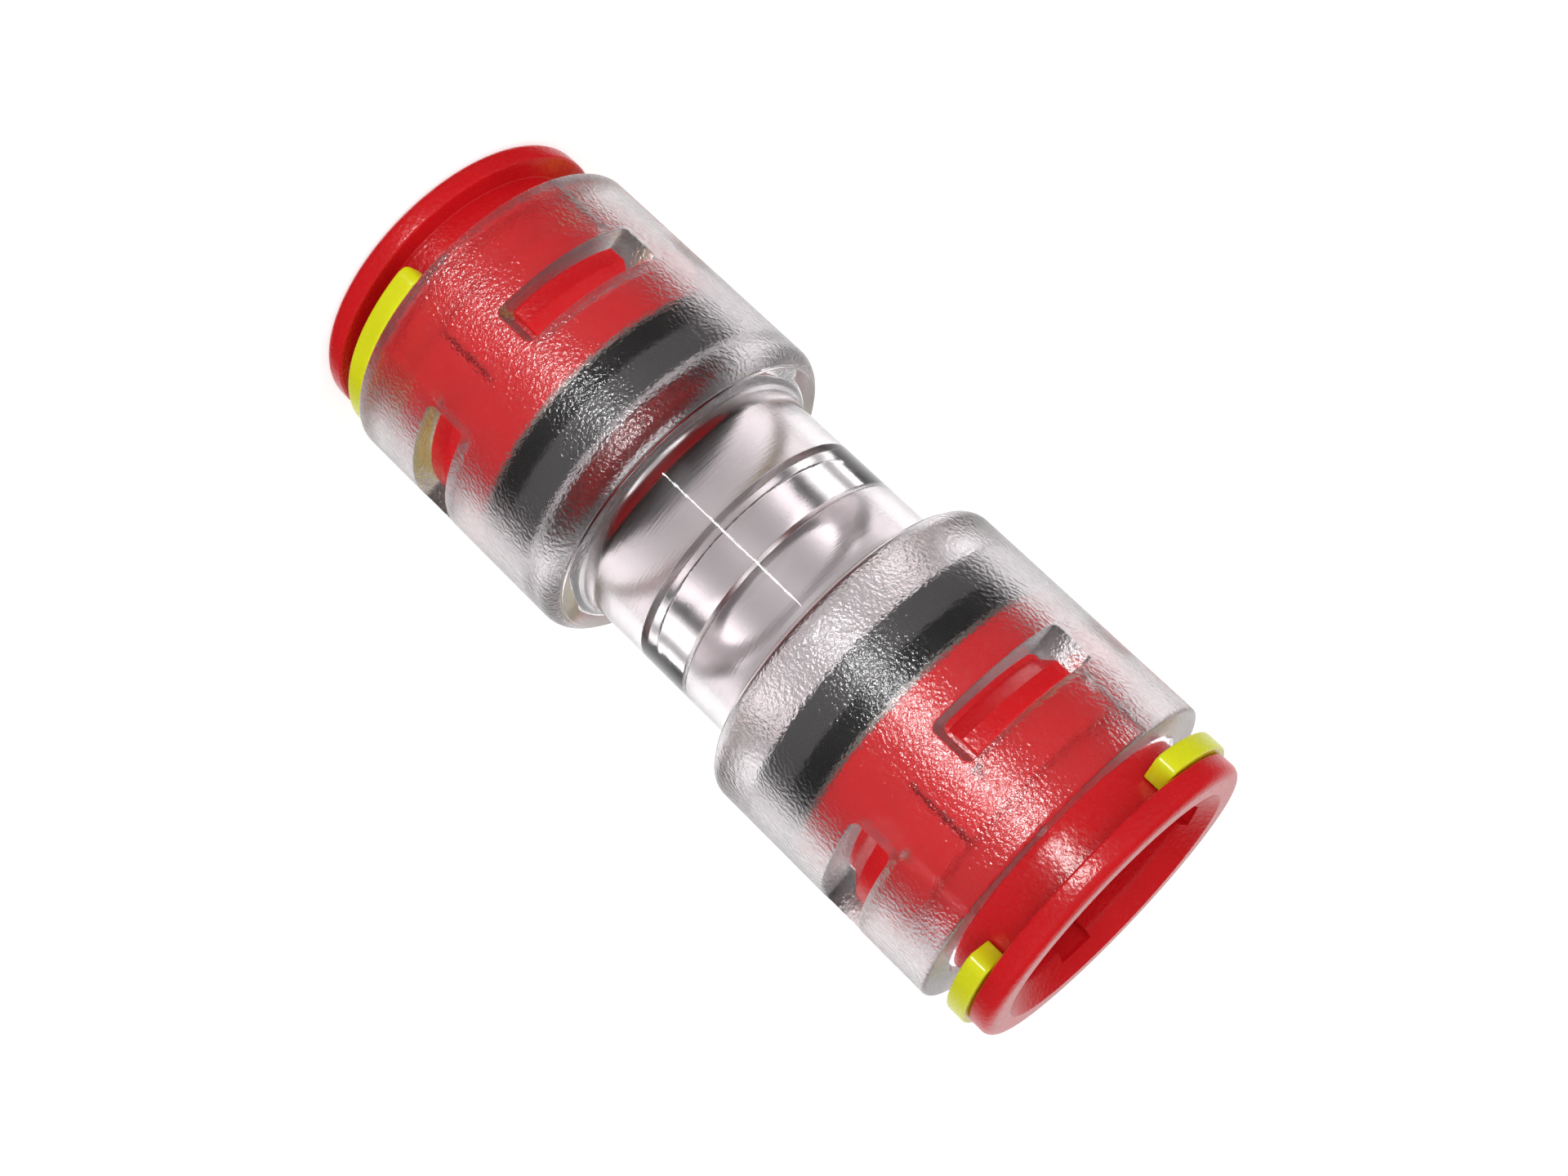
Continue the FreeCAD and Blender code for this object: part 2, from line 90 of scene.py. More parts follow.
# Numbers of the body's materials
BODY_FINISHES = ("polished_polycarbonate", "eroded_polycarbonate", "turned_polycarbonate")
POLISHED, ERODED, TURNED = range(3)


# Settings that a user would change

def length(name, about, value):
    """A length setting in millimetres."""
    return bpy.props.FloatProperty(name=name, description=about, default=value, min=0.0, precision=3)


def colour(name, about, code):
    """A colour setting from an sRGB hex code."""
    return bpy.props.FloatVectorProperty(name=name, description=about, subtype="COLOR", size=3, min=0, max=1,
                                         default=linear(code))


def linear(code):
    """Turn an sRGB hex code into linear red, green and blue."""
    srgb = [int(code[i:i + 2], 16) / 255 for i in (1, 3, 5)]
    return [c / 12.92 if c <= 0.04045 else ((c + 0.055) / 1.055) ** 2.4 for c in srgb]


class ConnectorSizes(bpy.types.PropertyGroup):
    """Sizes of the connector, in millimetres. A place is a distance from the body's middle."""

    tube_bore: length("Tube bore", "Radius of the sleeve's bore and of the tube's room in the waist", 7.1)
    stop_bore: length("Stop bore", "Radius of the passage in the tube stop", 4.6)
    waist_radius: length("Waist", "Outer radius of the body between the sockets", 8.35)
    shoulder: length("Shoulder", "Place of the shoulder's flat face", 6.35)
    socket_floor: length("Socket floor", "Place of the seal's seat", 9.4)
    socket_bore: length("Socket bore", "Radius inside the socket", 8.6)
    socket_radius: length("Socket", "Outer radius of the socket", 10.75)
    body_end: length("Body end", "Place of the socket's rim", 23.65)
    window_start: length("Window start", "Place of the window's inner side", 15.8)
    window_end: length("Window end", "Place of the window's outer side", 18.6)
    window_half_width: length("Window half width", "Half the window's width across its parallel sides", 4.88)
    window_half_width_at_bore: length("Window half width at the bore", "Half its width on the bore", 3.56)
    window_corner: length("Window corner", "Radius of the window's corners", 0.4)
    edge_round: length("Edge round", "Rounding of the window's edges", 0.09)
    groove_depth: length("Groove depth", "Depth of the guide grooves behind the mouth", 0.2)
    cartridge_bore: length("Cartridge bore", "Radius inside the cartridge's inner part", 8.12)
    cartridge_radius: length("Cartridge", "Outer radius of the cartridge", 8.55)
    cartridge_start: length("Cartridge start", "Place of the cartridge's inner end", 13.23)
    cartridge_end: length("Cartridge end", "Place of the cartridge's outer end", 21.13)
    slit_width: length("Slit width", "Width of the cartridge's slits", 0.24)
    lug_start: length("Lug start", "Place where a lug's ramp begins", 16.1)
    lug_end: length("Lug end", "Place of a lug's square end", 18.45)
    lug_height: length("Lug height", "Height of a lug over the cartridge's skin", 1.05)
    finger_radius: length("Fingers", "Outer radius of the sleeve's fingers", 7.8)
    finger_slot_width: length("Finger slot", "Width of the slots between the sleeve's fingers", 2.2)
    bore_groove_depth: length("Bore groove", "Depth of the grooves in the sleeve's bore", 0.45)
    neck_radius: length("Neck", "Outer radius of the sleeve's neck", 8.4)
    neck_start: length("Neck start", "Place where the sleeve's neck begins", 23.55)
    flange_radius: length("Flange", "Radius of the sleeve's flange", 9.95)
    flange_start: length("Flange start", "Place of the flange's inner face", 26.2)
    clip_bore: length("Clip bore", "Inner radius of the clip", 8.45)
    clip_radius: length("Clip", "Outer radius of the clip", 10.3)
    clip_width: length("Clip width", "Width of the clip along the axis", 1.3)


class ConnectorColours(bpy.types.PropertyGroup):
    """Colours of the connector's materials."""

    clear: colour("Clear", "Tint of the clear polycarbonate", "#FBF5F7")
    red: colour("Red", "Pigment of the red mouldings", "#D3151C")
    yellow: colour("Yellow", "Pigment of the clips", "#E2E412")
    black: colour("Black", "Rubber of the seals and plastic of the rings behind them", "#0D0D0D")
    steel: colour("Steel", "Spring steel of the grip rings", "#8D8874")


# Shapes worked out with numpy

def rounded(corners, steps):
    """Corners (x, y, radius) of a closed outline with each corner replaced by an arc of that radius.

    The arc touches both sides at radius / tan(angle / 2) from the corner, and its points are found by
    turning the radius from the first touching point to the second in equal steps.
    """
    c = np.array(corners, float)
    p, radius = c[:, :2], c[:, 2]
    to_last = np.roll(p, 1, 0) - p
    to_next = np.roll(p, -1, 0) - p
    u = to_last / np.linalg.norm(to_last, axis=1, keepdims=True)
    v = to_next / np.linalg.norm(to_next, axis=1, keepdims=True)
    t = np.linspace(0, 1, steps + 1)[:, None]
    pieces = []
    for point, a, b, r in zip(p, u, v, radius):
        if r <= 0:
            pieces.append(point[None])
            continue
        half = math.acos(np.clip(a @ b, -1, 1)) / 2
        middle = (a + b) / np.linalg.norm(a + b)
        centre = point + middle * r / math.sin(half)
        start = point + a * r / math.tan(half) - centre
        stop = point + b * r / math.tan(half) - centre
        turn = math.acos(np.clip(start @ stop / r ** 2, -1, 1))
        arc = (np.sin((1 - t) * turn) * start + np.sin(t * turn) * stop) / math.sin(turn)
        pieces.append(centre + arc)
    return np.concatenate(pieces)


def spread(points, longest, closed=True):
    """An outline with its long sides divided so that no side is longer than a length."""
    following = np.roll(points, -1, 0) if closed else points[1:]
    pieces = []
    for a, b in zip(points, following):
        count = max(1, math.ceil(np.linalg.norm(b - a) / longest))
        pieces.append(a + (b - a) * (np.arange(count) / count)[:, None])
    return np.concatenate(pieces if closed else [*pieces, points[-1:]])


def nearest(outline, radius, height):
    """Index of the point of an outline that is nearest to a corner."""
    return int(np.argmin(np.abs(outline - (radius, height)).sum(1)))


def from_window(angle):
    """Angle from the nearest window's middle; the windows are a quarter turn apart."""
    return (angle + QUARTER / 2) % QUARTER - QUARTER / 2


def quarter_round(distance, reach):
    """Height, 0 to 1, of a rounded edge at a distance inside it.

    It is sqrt(s (2 - s)), where s is the distance as a share of the edge's reach.
    """
    share = np.clip(distance / reach, 0, 1)
    return np.sqrt(share * (2 - share))


def grid_faces(rows, columns, closed_rows=False, closed_columns=False):
    """Quads of a grid of points numbered row by row."""
    i = np.arange(rows if closed_rows else rows - 1)[:, None]
    j = np.arange(columns if closed_columns else columns - 1)[None]
    i2, j2 = (i + 1) % rows, (j + 1) % columns
    quads = np.stack([i * columns + j, i * columns + j2, i2 * columns + j2, i2 * columns + j], -1)
    return quads.reshape(-1, 4)


def turned(radius, height, angle):
    """Points of a surface of revolution: (radius cos angle, radius sin angle, height)."""
    radius, height, angle = np.broadcast_arrays(radius, height, angle)
    return np.stack([radius * np.cos(angle), radius * np.sin(angle), height], -1)


class Shell:
    """Surfaces gathered into one closed mesh."""

    def __init__(self):
        self.points = []
        self.faces = []
        self.slots = []
        self.count = 0

    def add(self, points, faces, slot=0):
        """Add points and faces; slot is the material number, one for all or one for each face."""
        points = np.asarray(points, float).reshape(-1, 3)
        self.points.append(points)
        self.faces.extend((np.asarray(faces) + self.count).tolist())
        self.slots.append(np.broadcast_to(slot, len(faces)))
        self.count += len(points)

    def add_grid(self, points, slot=0, closed_rows=False, closed_columns=False):
        """Add a grid of points."""
        rows, columns = points.shape[:2]
        self.add(points, grid_faces(rows, columns, closed_rows, closed_columns), slot)

    def build(self, name, end, body, slot_name, materials, sharp):
        """Make the object, lay it at its end, close its seams and point its faces outwards.

        Edges that turn by more than sharp degrees stay crisp.
        """
        points = np.concatenate(self.points)
        if end == "a":
            points = points * (-1, 1, -1)
        points = (points + (0, 0, HALF_LENGTH)) * MM
        mesh = bpy.data.meshes.new(name)
        mesh.from_pydata(points.tolist(), [], self.faces)
        for material in materials:
            mesh.materials.append(material)
        mesh.polygons.foreach_set("material_index", np.concatenate(self.slots).astype(np.int32))
        work = bmesh.new()
        work.from_mesh(mesh)
        bmesh.ops.remove_doubles(work, verts=work.verts, dist=WELD)
        bmesh.ops.dissolve_degenerate(work, edges=work.edges, dist=1e-8)
        bmesh.ops.recalc_face_normals(work, faces=work.faces)
        work.to_mesh(mesh)
        work.free()
        mesh.polygons.foreach_set("use_smooth", np.ones(len(mesh.polygons), bool))
        mesh.set_sharp_from_angle(angle=math.radians(sharp))
        piece = bpy.data.objects.new(name, mesh)
        bpy.context.scene.collection.objects.link(piece)
        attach(piece, body)
        return piece


# Material nodes

def node(tree, kind, settings=None, *sources, **links):
    """Add one node with its settings and links.

    A setting is named by an input's name or number, or by a property. The sources are linked to the first
    inputs in order, and each link to the input of its name, with _ for a space.
    """
    made = tree.nodes.new(kind)
    for name, value in (settings or {}).items():
        if isinstance(name, int) or name in made.inputs:
            made.inputs[name].default_value = value
        else:
            setattr(made, name, value)
    for source, target in zip(sources, made.inputs):
        tree.links.new(source, target)
    for name, source in links.items():
        tree.links.new(source, made.inputs[name.replace("_", " ")])
    return made


def new_material(name):
    """A material with an empty tree, and its tree."""
    material = bpy.data.materials.new(name)
    material.use_nodes = True
    material.node_tree.nodes.clear()
    return material, material.node_tree


def grain(tree, size_mm, detail=2.0, upright=1.0):
    """Noise in Object coordinates with grains of a size in millimetres, and upright times that along Z."""
    place = node(tree, "ShaderNodeTexCoord").outputs["Object"]
    squeezed = node(tree, "ShaderNodeVectorMath", {"operation": "MULTIPLY", 1: (1, 1, 1 / upright)}, place)
    settings = {"Scale": 1 / (size_mm * MM), "Detail": detail}
    return node(tree, "ShaderNodeTexNoise", settings, squeezed.outputs[0]).outputs["Fac"]


def bumped(tree, height, depth_mm, strength=1.0):
    """A bump of a depth in millimetres."""
    settings = {"Strength": strength, "Distance": depth_mm * MM}
    return node(tree, "ShaderNodeBump", settings, Height=height).outputs["Normal"]


def ranged(tree, value, low, high):
    """Map a noise value from its usual span to a span of another quantity."""
    settings = {"From Min": 0.3, "From Max": 0.7, "To Min": low, "To Max": high}
    return node(tree, "ShaderNodeMapRange", settings, value).outputs["Result"]


def clear_polycarbonate(name, tint, roughness, depth_mm, size_mm, detail, upright):
    """Clear polycarbonate: a glass-like shader with one bump, which scattered light passes."""
    material, tree = new_material(name)
    relief = bumped(tree, grain(tree, size_mm, detail, upright), depth_mm)
    settings = {"Base Color": (*tint, 1), "Roughness": roughness, "IOR": 1.585, "Transmission Weight": 1.0}
    shader = node(tree, "ShaderNodeBsdfPrincipled", settings, Normal=relief)
    clear = node(tree, "ShaderNodeBsdfTransparent")
    scattered = node(tree, "ShaderNodeLightPath").outputs["Is Diffuse Ray"]
    mixed = node(tree, "ShaderNodeMixShader", None, scattered, shader.outputs[0], clear.outputs[0])
    node(tree, "ShaderNodeOutputMaterial", Surface=mixed.outputs[0])
    return material


def pigmented_plastic(name, tint, roughness, size_mm, depth_mm, glow, gloss):
    """Pigmented plastic or rubber: grain in its relief and roughness, and faint clouds in its colour."""
    material, tree = new_material(name)
    texture = grain(tree, size_mm)
    clouds = ranged(tree, grain(tree, 4.0, 1.0), 0.0, 1.0)
    colours = {"data_type": "RGBA", 6: (*[c * 0.9 for c in tint], 1), 7: (*tint, 1)}
    shade = node(tree, "ShaderNodeMix", colours, clouds)
    settings = {"IOR": 1.5, "Specular IOR Level": gloss, "Subsurface Weight": glow,
                "Subsurface Radius": (1.0, 0.25, 0.15), "Subsurface Scale": MM}
    shader = node(tree, "ShaderNodeBsdfPrincipled", settings, Base_Color=shade.outputs[2],
                  Normal=bumped(tree, texture, depth_mm),
                  Roughness=ranged(tree, texture, roughness - 0.04, roughness + 0.04))
    node(tree, "ShaderNodeOutputMaterial", Surface=shader.outputs["BSDF"])
    return material


def rolled_steel(name, tint):
    """Stamped spring steel: metal with the fine marks of rolling."""
    material, tree = new_material(name)
    marks = grain(tree, 0.3)
    settings = {"Base Color": (*tint, 1), "Metallic": 1.0}
    shader = node(tree, "ShaderNodeBsdfPrincipled", settings, Roughness=ranged(tree, marks, 0.3, 0.45),
                  Normal=bumped(tree, marks, 0.01, 0.4))
    node(tree, "ShaderNodeOutputMaterial", Surface=shader.outputs["BSDF"])
    return material


# Each finish: its maker, its colour's setting and the maker's values
FINISHES = {
    # Clear polycarbonate: roughness, the relief's depth and grain in millimetres, detail, stretch along Z
    # Off a polished mould face: sharp refraction, the faintest waviness
    "polished_polycarbonate": (clear_polycarbonate, "clear", 0.02, 0.003, 0.25, 2.0, 0.5),
    # Off a spark-eroded mould face: craters that blur and sparkle, about 0.05 mm in real and drawn at 0.23 mm
    "eroded_polycarbonate": (clear_polycarbonate, "clear", 0.21, 0.069, 0.23, 2.0, 1.0),
    # Off turned core pins: lines round the axis, about 0.03 mm apart in real and drawn at 0.14 mm
    "turned_polycarbonate": (clear_polycarbonate, "clear", 0.2, 0.004, 3.0, 1.0, 0.045),
    # Pigmented plastic: roughness, grain and its depth in millimetres, glow under the skin, gloss
    # Acetal off a spark-eroded mould face, whose craters are drawn coarser than real
    "red_moulding": (pigmented_plastic, "red", 0.25, 0.28, 0.035, 0.1, 0.4),
    # Acetal off a nearly smooth mould face
    "yellow_moulding": (pigmented_plastic, "yellow", 0.26, 0.3, 0.003, 0.1, 0.4),
    # Rubber off a smooth mould face, dull
    "black_rubber": (pigmented_plastic, "black", 0.5, 0.3, 0.01, 0.0, 0.1),
    # Nylon off a smooth mould face, a little glossier
    "black_nylon": (pigmented_plastic, "black", 0.5, 0.3, 0.01, 0.0, 0.15),
    # Spring steel, stamped from rolled strip
    "spring_steel": (rolled_steel, "steel"),
}


def finish(name, colours):
    """A material of the table above, made the first time that it is asked for."""
    maker, tint, *values = FINISHES[name]
    return bpy.data.materials.get(name) or maker(name, getattr(colours, tint), *values)


# Pieces

def body_columns():
    """Angles of the body's grid: even steps, with two drawn to each side of a guide groove."""
    step = math.tau / COLUMNS
    angle = np.arange(COLUMNS) * step
    near = from_window(angle)
    shift = np.zeros(COLUMNS)
    for side in (-1, 1):
        drawn = np.abs(np.abs(near) - (GROOVE_EDGE + side * step / 2)) < step / 2
        shift = np.where(drawn, np.sign(near) * (GROOVE_EDGE + side * GROOVE_SLOPE) - near, shift)
    return angle + shift


def groove_depth(angle, height, sizes):
    """Depth of the guide grooves, which run from the windows' outer sides to the mouth."""
    inside = (np.abs(from_window(angle)) < GROOVE_EDGE) & (height > sizes.window_end - 0.01)
    return np.where(inside, sizes.groove_depth, 0.0)


def window_loop(sizes, half_width, grow):
    """Rounded rectangle of a window in (offset across, height), grown outwards by an amount.

    Its points run from the lower left corner, as many along a side as the patch's rectangle has. Each
    side is straight between two halves of a corner's arc: r (1 - sin a) along it and r (1 - cos a) inwards.
    """
    w, z0, z1 = half_width + grow, sizes.window_start - grow, sizes.window_end + grow
    r = sizes.window_corner + grow
    arc_steps = 4
    a = np.linspace(QUARTER / 2, 0, arc_steps + 1)[:, None]
    along, inwards = r * (1 - np.sin(a)), r * (1 - np.cos(a))

    def side(start, end, forward, inward, count):
        """One side from a corner to the next, without its last point."""
        first = start + forward * along + inward * inwards
        last = end - forward * along[::-1] + inward * inwards[::-1]
        straight = count - 2 * arc_steps
        middle = first[-1] + (last[0] - first[-1]) * (np.arange(1, straight) / straight)[:, None]
        return np.concatenate([first, middle, last])[:-1]

    x, z = np.array([1.0, 0.0]), np.array([0.0, 1.0])
    corners = [np.array(corner) for corner in ((-w, z0), (w, z0), (w, z1), (-w, z1))]
    return np.concatenate([
        side(corners[0], corners[1], x, z, QUARTER_COLUMNS),
        side(corners[1], corners[2], z, -x, WINDOW_ROWS),
        side(corners[2], corners[3], -x, -z, QUARTER_COLUMNS),
        side(corners[3], corners[0], -z, x, WINDOW_ROWS),
    ])


def patch_rectangle(columns, low, high):
    """Rectangle round a window in (angle, height) with the points of the body's grid on its long sides."""
    rise = np.linspace(low, high, WINDOW_ROWS + 1)
    left, right = np.full(WINDOW_ROWS, columns[0]), np.full(WINDOW_ROWS, columns[-1])
    return np.concatenate([
        np.stack([columns[:-1], np.full(len(columns) - 1, low)], 1),
        np.stack([right, rise[:-1]], 1),
        np.stack([columns[::-1][:-1], np.full(len(columns) - 1, high)], 1),
        np.stack([left, rise[::-1][:-1]], 1),
    ])


def window_patch(shell, sizes, turn, columns, span):
    """The surfaces round one window: outer skin, rounded edges, wall and inner skin.

    A ring of points follows the window's rounded rectangle. Across the skins it is blended in straight
    lines to the patch's own rectangle, and through the wall it runs straight from the outer skin to the
    narrower rectangle on the inner one.
    """
    rectangle = patch_rectangle(columns, *span)
    edge_round = sizes.edge_round

    def ring(grow, outside):
        """Angles, heights and radii of the window's loop on the outer or the inner skin."""
        radius = sizes.socket_radius if outside else sizes.socket_bore
        half_width = sizes.window_half_width if outside else sizes.window_half_width_at_bore
        across, height = window_loop(sizes, half_width, grow).T
        radii = np.full(len(across), radius)
        if not outside:
            radii += groove_depth(np.arcsin(across / radius), height, sizes)
        return np.arcsin(across / radii), height, radii

    def skin(outside):
        """Rings from the rectangle to the loop, grown by the edge's round."""
        angle, height, _ = ring(edge_round, outside)
        t = (1 - np.linspace(0, 1, 7) ** 0.8)[:, None]
        a = angle + (rectangle[:, 0] - angle) * t
        z = height + (rectangle[:, 1] - height) * t
        radius = sizes.socket_radius if outside else sizes.socket_bore + groove_depth(a, z, sizes)
        return turned(radius, z, a + turn)

    def edge(t, outside):
        """A ring of a rounded edge, from the skin at t = 0 to the wall at t = 1."""
        angle, height, radius = ring(edge_round * (1 - math.sin(t * QUARTER)), outside)
        sink = edge_round * (1 - math.cos(t * QUARTER))
        return turned(radius - sink if outside else radius + sink, height, angle + turn)

    shell.add_grid(skin(True), ERODED, closed_columns=True)
    shell.add_grid(skin(False), POLISHED, closed_columns=True)
    steps = np.linspace(0, 1, 4)
    outer = [edge(t, True) for t in steps]
    inner = [edge(t, False) for t in steps[::-1]]
    wall = [outer[-1] + (inner[0] - outer[-1]) * t for t in (0.25, 0.5, 0.75)]
    shell.add_grid(np.array(outer + wall + inner), ERODED, closed_columns=True)


def lathe_body(shell, sizes, columns):
    """One half of the body: the profile's rows turned about the axis, with room left for the windows.

    The inner rows sink by the guide grooves' depth. Rows in the windows' span are left to the patches.
    """
    s = sizes
    low, high = s.window_start - WINDOW_MARGIN, s.window_end + WINDOW_MARGIN
    mouth_corner, ledge_corner = (s.socket_bore, s.body_end - 0.25), (10.1, 6.5)
    corners = [
        # Up the inside: tube stop, tube's room, seal's seat, socket and mouth
        (s.stop_bore, 0.0, 0), (s.stop_bore, 1.46, 0.12), (6.7, 1.46, 0.1), (s.tube_bore, 1.86, 0.1),
        (s.tube_bore, s.socket_floor, 0.1), (s.socket_bore, s.socket_floor, 0.12),
        (s.socket_bore, low, 0), (s.socket_bore, high, 0), (*mouth_corner, 0.05),
        (s.socket_bore + 0.25, s.body_end, 0.06),
        # Down the outside: socket, rounded shoulder with its small ledge, root and waist
        (s.socket_radius, s.body_end, 0.25), (s.socket_radius, high, 0), (s.socket_radius, low, 0),
        (s.socket_radius, 6.9, 1.29), (*ledge_corner, 0.04), (9.95, 6.5, 0.04), (9.95, s.shoulder, 0.05),
        (s.waist_radius, s.shoulder, 0.9), (s.waist_radius, 0.0, 0),
    ]
    outline = rounded(corners, 8)
    stop, seat, below, above, mouth, outer_above, outer_below, ledge = [
        nearest(outline, *corner) for corner in (
            (s.tube_bore, s.socket_floor), (s.socket_bore, s.socket_floor), (s.socket_bore, low),
            (s.socket_bore, high), mouth_corner, (s.socket_radius, high), (s.socket_radius, low),
            ledge_corner)]
    stretches = (
        (0, stop, TURNED), (stop, seat, ERODED), (seat, below, POLISHED), (above, mouth, POLISHED),
        (mouth, outer_above, ERODED), (outer_below, ledge, ERODED), (ledge, len(outline) - 1, POLISHED),
    )
    for first, last, slot in stretches:
        rows = spread(outline[first:last + 1], 0.8, closed=False)
        radius, height = rows[:, :1], rows[:, 1:]
        sink = groove_depth(columns[None], height, sizes) * (radius < s.socket_bore + 0.15)
        shell.add_grid(turned(radius + sink, height, columns[None]), slot, closed_columns=True)
    return low, high


def build_body(sizes, colours):
    """The clear moulding: both halves' lathed rows and eight window patches in one closed mesh."""
    shell = Shell()
    columns = body_columns()
    for flip in (1, -1):
        half = Shell()
        span = lathe_body(half, sizes, columns)
        for k in range(4):
            pick = (np.arange(QUARTER_COLUMNS + 1) + QUARTER_COLUMNS // 2 + QUARTER_COLUMNS * k) % COLUMNS
            local = np.unwrap(columns[pick]) - (k + 1) * QUARTER
            local -= np.round(local.mean() / math.tau) * math.tau
            window_patch(half, sizes, (k + 1) * QUARTER, local, span)
        points = np.concatenate(half.points) * (1, 1, flip)
        shell.add(points, half.faces, np.concatenate(half.slots))
    finishes = [finish(name, colours) for name in BODY_FINISHES]
    piece = shell.build("clear_body", "b", "connector", "clear_plastic", finishes, 28)
    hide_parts("connector_body")
    return piece


def slotted_tube(shell, outline, columns, open_columns, slot_end, radius_at):
    """Turn a closed outline about the axis and cut it open between columns, up to a height.

    The outline is (radius, height) points that include slot_end on both walls. radius_at moves a point
    outwards or inwards from its angle, height and radius.
    """
    radius, height = outline[:, :1], outline[:, 1:]
    points = turned(radius_at(columns[None], height, radius), height, columns[None])
    rows, count = points.shape[:2]
    quads = grid_faces(rows, count, True, True)
    row, column = quads[:, 0] // count, quads[:, 0] % count
    slotted = outline[:, 1] < slot_end + TINY
    shell.add(points, quads[~(slotted[row] & slotted[(row + 1) % rows] & open_columns[column])])
    # The slotted rows in order from one wall to the other, where they pass the outline's first point too
    below = np.flatnonzero(slotted)
    gap = np.flatnonzero(np.diff(below) > 1)
    below = np.roll(below, -(gap[0] + 1)) if len(gap) else below
    first, last = below[0], below[-1]
    for c in np.flatnonzero(open_columns):
        following = (c + 1) % count
        floor = [points[first, c], points[first, following], points[last, following], points[last, c]]
        shell.add(floor, [[0, 1, 2, 3]])
        if not open_columns[(c - 1) % count]:
            shell.add(points[below, c], [np.arange(len(below))])
        if not open_columns[following]:
            shell.add(points[below, following], [np.arange(len(below))])


def build_sleeve(end, sizes, colours):
    """Red release sleeve: neck and flange, and four fingers with a bead, grooved along the bore."""
    bore, finger, neck = sizes.tube_bore, sizes.finger_radius, sizes.neck_radius
    neck_start, flange, flange_start = sizes.neck_start, sizes.flange_radius, sizes.flange_start
    bead, slot_end, groove_end, groove_slope = 8.07, 20.93, 26.8, 0.05
    corners = [
        # Up the outside: nose, finger, bead, neck and flange
        (bore, 15.13, 0.1), (7.4, 15.13, 0.1), (finger, 15.93, 0.1), (finger, 16.66, 0.05),
        (bead, 16.93, 0.05), (bead, 17.83, 0.05), (finger, 17.83, 0.05), (finger, slot_end, 0),
        (finger, neck_start, 0.05),
        (neck, neck_start, 0.08), (neck, flange_start, 0.1), (flange, flange_start, 0.16),
        (flange, HALF_LENGTH, 0.6), (8.25, HALF_LENGTH, 0.12),
        # Down the bore: lead-in and grooves
        (bore, 26.5, 0.5), (bore, 26.0, 0), (bore, neck_start + groove_slope, 0),
        (bore, neck_start - groove_slope, 0), (bore, slot_end, 0),
    ]
    outline = spread(rounded(corners, 6), 0.45)
    half = math.asin(sizes.finger_slot_width / 2 / bore)
    base = np.linspace(-QUARTER / 2, QUARTER / 2, 45)[:-1]
    for side in (-half, half):
        base[np.argmin(np.abs(base - side))] = side
    groove_side = half + 0.006
    base = np.sort(np.concatenate([base, [-groove_side, groove_side]]))
    columns = np.concatenate([base + k * QUARTER for k in range(4)])
    in_slot = np.tile((base > -half - 1e-9) & (base < half - 1e-9), 4)

    def grooved(angle, height, radius):
        """Sink the bore within the grooves, which carry on in line with the slots between the fingers."""
        in_groove = (np.abs(from_window(angle)) < half + TINY) & (height > neck_start) & (height < groove_end)
        return np.where(in_groove & (radius < bore + 0.4), bore + sizes.bore_groove_depth, radius)

    shell = Shell()
    slotted_tube(shell, outline, columns, in_slot, slot_end, grooved)
    red = finish("red_moulding", colours)
    piece = shell.build(f"red_sleeve_{end}", end, f"sleeve_{end}", "red_plastic", [red], 30)
    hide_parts(f"release_sleeve_{end}")
    return piece


